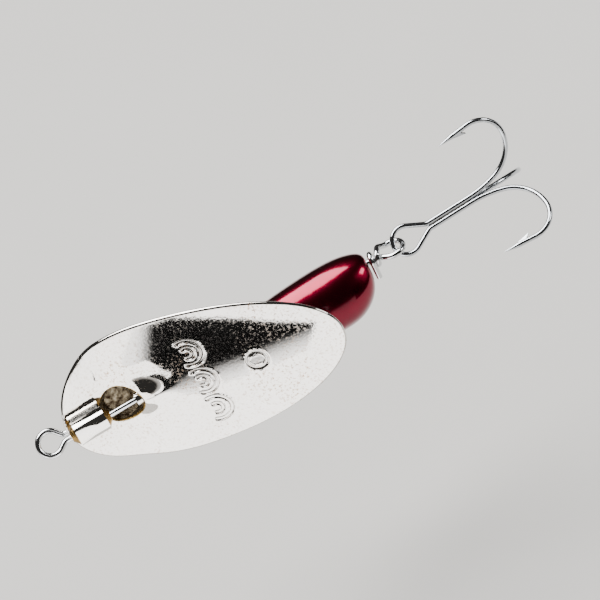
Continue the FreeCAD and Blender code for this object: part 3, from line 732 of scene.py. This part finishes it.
def black_reflection_card():
    """A black card that only the metal mirrors: a painted dark reflection, matt, with a faint nap and
    no shine.
    """
    material, tree, place = new_material("painted_dark_reflection_black")
    nap = add_node(tree, "ShaderNodeTexNoise", {"Vector": place, "Scale": per_mm(1.0)})
    shade = add_node(
        tree, "ShaderNodeMapRange",
        {"Value": nap.outputs["Fac"], "To Min": 0.001, "To Max": 0.006},
    )
    close_material(tree, {
        "Base Color": shade.outputs["Result"], "Roughness": 1.0, "Specular IOR Level": 0.0,
    })
    return material


def graded_reflection_card(stage, middle):
    """Black that fades to a white glow towards its lower and its left edge: a painted reflection with
    soft edges, for the blade's mirror.
    """
    material, tree, place = new_material("painted_reflection_graded")
    # the glow rises towards the lower and the left edge, painting the soft edges of a dark reflection
    along = add_node(tree, "ShaderNodeSeparateXYZ", {"Vector": place})
    low = add_node(
        tree, "ShaderNodeMapRange",
        {
            "Value": along.outputs["Z"], "From Min": middle.z - 1.8 * MM,
            "From Max": middle.z - 8.3 * MM, "To Max": stage.panel,
        },
        interpolation_type="SMOOTHSTEP",
    )
    left = add_node(
        tree, "ShaderNodeMapRange",
        {
            "Value": along.outputs["X"], "From Min": middle.x - 8.4 * MM,
            "From Max": middle.x - 11.6 * MM, "To Max": stage.panel,
        },
        interpolation_type="SMOOTHSTEP",
    )
    glow = add_node(
        tree, "ShaderNodeMath", {0: low.outputs["Result"], 1: left.outputs["Result"]},
        operation="MAXIMUM",
    )
    # a slight unevenness in the painted glow
    grain = add_node(tree, "ShaderNodeTexNoise", {"Vector": place, "Scale": per_mm(1.0)})
    uneven = add_node(
        tree, "ShaderNodeMapRange",
        {"Value": grain.outputs["Fac"], "To Min": 0.92, "To Max": 1.08},
    )
    lit = add_node(
        tree, "ShaderNodeMath", {0: glow.outputs[0], 1: uneven.outputs["Result"]},
        operation="MULTIPLY",
    )
    close_material(tree, {
        "Base Color": (0.002, 0.002, 0.002, 1.0), "Roughness": 1.0, "Specular IOR Level": 0.0,
        "Emission Color": (1.0, 1.0, 1.0, 1.0), "Emission Strength": lit.outputs[0],
    })
    return material


def painted_reflection_glow(stage):
    """An even white glow with a very slight mottle: a painted reflection on cards that only the metal
    mirrors and that light nothing.
    """
    material, tree, place = new_material("painted_reflection_white")
    mottle = add_node(tree, "ShaderNodeTexNoise", {"Vector": place, "Scale": per_mm(15.0)})
    glow = add_node(
        tree, "ShaderNodeMapRange",
        {
            "Value": mottle.outputs["Fac"], "To Min": stage.panel * 0.95,
            "To Max": stage.panel * 1.05,
        },
    )
    close_material(tree, {
        "Base Color": opaque(stage.floor), "Emission Color": (1.0, 1.0, 1.0, 1.0),
        "Emission Strength": glow.outputs["Result"],
    })
    return material


def make_cards(stage):
    """Glowing white cards that the blade mirrors, the graded card before them, and a black card at
    the side: painted reflections, seen only in the metal.
    """
    glow = painted_reflection_glow(stage)
    floor_level = CAD_LOW.z - FLOOR_DROP
    # white glowing cards that only the metal mirrors: painted reflections, which light nothing and
    # cast no shadow
    hidden_card(
        "low_reflection_card", Vector((-95 * MM, -95 * MM, floor_level + MM)), Vector((0, 0.001, -1)),
        [(-115, -95), (110, -95), (110, 80), (-115, 80)], glow,
    )
    bend = Vector((TUBE_HIGH.x, TUBE_LOW.y, TUBE_HIGH.z))
    hidden_card(
        "bend_reflection_card", bend + AHEAD * 3.1 * MM, AHEAD,
        [
            (-6.8, -3), (3.4, -3), (3.4, 7.4), (-1.3, 7.4),
            (-1.3, 1.3), (-4.2, 1.3), (-6.8, -1.4),
        ],
        glow,
    )
    # a painted reflection: the dark wedge in the blade, its edges fading to a white glow
    graded = (BLADE_LOW + BLADE_HIGH) / 2 + AHEAD * 58 * MM
    hidden_card(
        "graded_reflection_card", graded, AHEAD,
        [(16, -9), (-18, -9), (-22.5, -2), (-8, 9.5), (2.5, 15.5), (11, 15.5), (16, 6)],
        graded_reflection_card(stage, graded),
    )
    # a black card that only the metal mirrors: a painted dark reflection, which shades nothing
    hidden_card(
        "side_dark_reflection_card", Vector((110 * MM, -50 * MM, -5 * MM)), Vector((0.85, -0.5, -0.1)),
        [(-55, -30), (55, -30), (55, 40), (-55, 40)], black_reflection_card(),
    )


def make_lights(stage, middle):
    """A large softbox overhead, a smaller one at the side, and a dim room."""
    # each with its power, its width and height, and its place from the lure's middle
    for name, power, size_x, size_y, place in (
        ("overhead", stage.overhead, 0.5, 0.34, (-0.08, 0.12, 0.45)),
        ("side", stage.side, 0.14, 0.3, (0.42, -0.16, 0.16)),
    ):
        light = bpy.data.lights.new(name, "AREA")
        light.shape = "RECTANGLE"
        light.size = size_x
        light.size_y = size_y
        light.energy = power
        lamp = bpy.data.objects.new(name, light)
        lamp.location = middle + Vector(place)
        lamp.rotation_euler = Vector(place).to_track_quat("Z", "Y").to_euler()
        bpy.context.scene.collection.objects.link(lamp)
    world = bpy.data.worlds.new("room")
    world.use_nodes = True
    world.node_tree.nodes.clear()
    room = add_node(
        world.node_tree, "ShaderNodeBackground",
        {"Color": opaque(stage.floor), "Strength": stage.ambient},
    )
    add_node(world.node_tree, "ShaderNodeOutputWorld", {"Surface": room.outputs["Background"]})
    bpy.context.scene.world = world


def make_camera(stage, middle):
    """A long lens at the lure, tilted so that the shaft climbs to the right."""
    rise, swing, roll = stage.rise, stage.swing, stage.roll
    back = Vector((
        -math.sin(swing), -math.cos(rise) * math.cos(swing), math.sin(rise) * math.cos(swing)
    ))
    along = (Vector((1, 0, 0)) - back * back.x).normalized()
    above = back.cross(along)
    right = math.cos(roll) * along - math.sin(roll) * above
    up = math.sin(roll) * along + math.cos(roll) * above
    data = bpy.data.cameras.new("camera")
    data.lens = data.sensor_width * stage.distance / stage.field
    data.clip_start = 0.1
    camera = bpy.data.objects.new("camera", data)
    aim = middle + right * stage.aim_right + up * stage.aim_up
    turned = Matrix((right, up, back)).transposed().to_4x4()
    camera.matrix_world = Matrix.Translation(aim + back * stage.distance) @ turned
    bpy.context.scene.collection.objects.link(camera)
    bpy.context.scene.camera = camera


# ---------------------------------------------------------------- add-on

STEPS = ("stage", "blade", "bearing", "wire", "weight", "hook")


class SPINNER_PT_panel(bpy.types.Panel):
    """The steps that finish the spinner"""

    bl_idname = "SPINNER_PT_panel"
    bl_label = "In-line Spinner"
    bl_space_type = "VIEW_3D"
    bl_region_type = "UI"
    bl_category = "Spinner"

    def draw(self, context):
        for step in STEPS:
            self.layout.operator(f"spinner.{step}")
        for group in ("spinner_blade", "spinner_finish", "spinner_stage"):
            settings = getattr(context.scene, group)
            for name in settings.bl_rna.properties.keys():
                if name not in ("rna_type", "name"):
                    self.layout.prop(settings, name)


CLASSES = (
    BladeSettings, FinishSettings, StageSettings,
    SPINNER_OT_stage, SPINNER_OT_blade, SPINNER_OT_bearing, SPINNER_OT_wire,
    SPINNER_OT_weight, SPINNER_OT_hook, SPINNER_PT_panel,
)


def register():
    for cls in CLASSES:
        bpy.utils.register_class(cls)
    bpy.types.Scene.spinner_blade = bpy.props.PointerProperty(type=BladeSettings)
    bpy.types.Scene.spinner_finish = bpy.props.PointerProperty(type=FinishSettings)
    bpy.types.Scene.spinner_stage = bpy.props.PointerProperty(type=StageSettings)


def unregister():
    del bpy.types.Scene.spinner_stage
    del bpy.types.Scene.spinner_finish
    del bpy.types.Scene.spinner_blade
    for cls in reversed(CLASSES):
        bpy.utils.unregister_class(cls)


def main():
    """Finish the whole spinner."""
    register()
    for step in STEPS:
        getattr(bpy.ops.spinner, step)()


if __name__ == "__main__":
    main()
